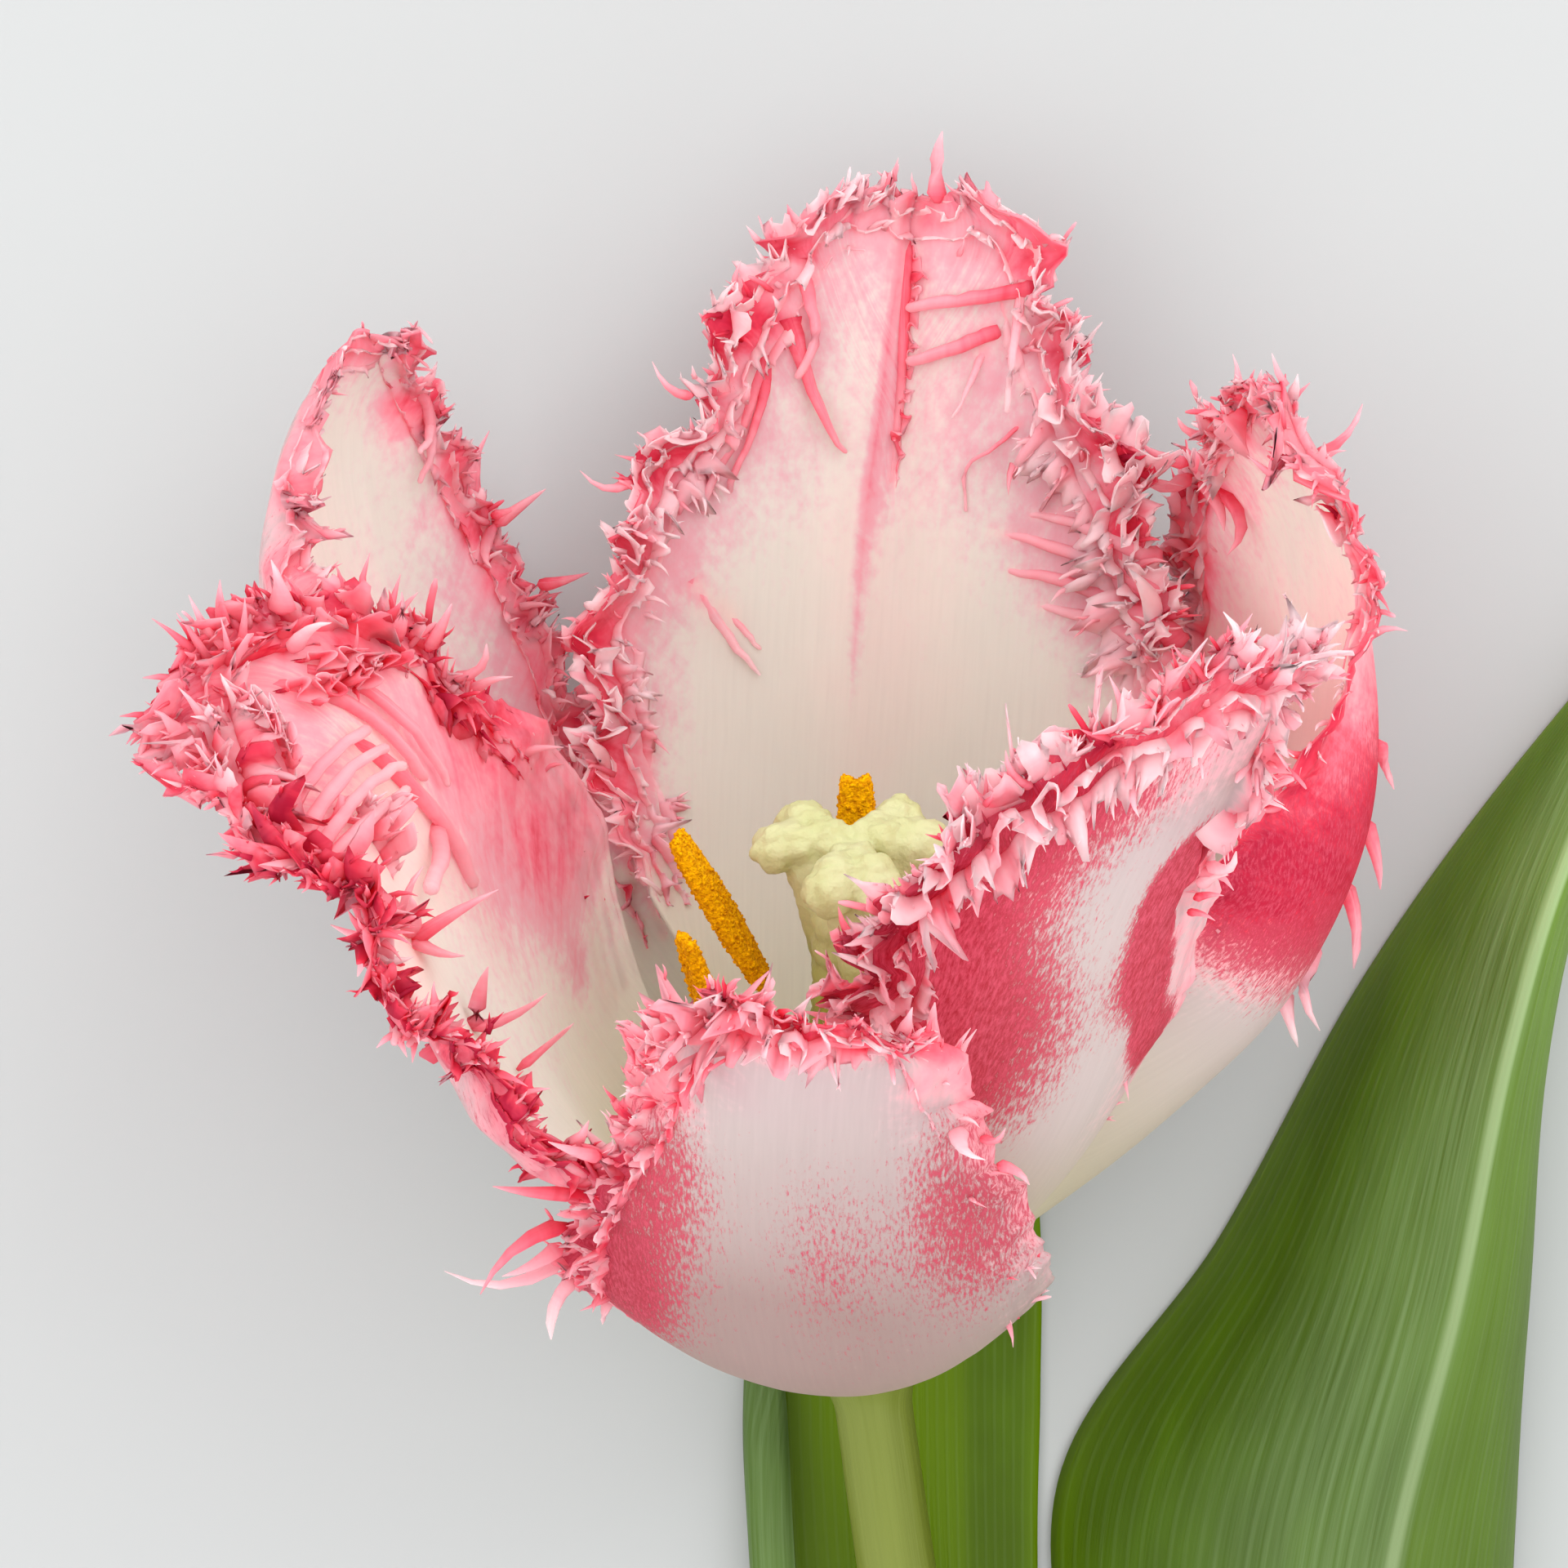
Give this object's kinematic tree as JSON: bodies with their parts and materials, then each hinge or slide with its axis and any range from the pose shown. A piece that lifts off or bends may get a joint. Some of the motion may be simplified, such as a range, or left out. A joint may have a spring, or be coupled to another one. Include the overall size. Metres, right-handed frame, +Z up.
{
  "type": "fringed tulip",
  "caption": "Cut fringed tulip lying down: open cupped bloom of ragged-edged tepals, round stem, one flat leaf and one tented leaf.",
  "frame": {"origin": "middle of the whole flower's length and width, on the table it lies on", "axes": "+Y along the stem from its cut end toward the bloom, +Z up from the table, +X to the right, toward the tented leaf"},
  "size_m": [0.1065, 0.297, 0.0792],
  "materials": {
    "tepal": "satin",
    "leaf": "satin",
    "stem": "satin",
    "pistil": "satin",
    "filament": "satin",
    "anther": "matte"
  },
  "bodies": {
    "root": {"stem": "stem", "leaf_under": "leaf", "leaf_right": "leaf", "tepal_inner_back": "tepal", "tepal_outer_back_left": "tepal", "tepal_inner_left": "tepal", "tepal_outer_front": "tepal", "tepal_inner_front_right": "tepal", "tepal_outer_back_right": "tepal", "pistil": "pistil", "filament_1": "filament", "filament_2": "filament", "filament_3": "filament", "filament_4": "filament", "filament_5": "filament", "filament_6": "filament", "anther_1": "anther", "anther_2": "anther", "anther_3": "anther", "anther_4": "anther", "anther_5": "anther", "anther_6": "anther"}
  },
  "joints": []
}
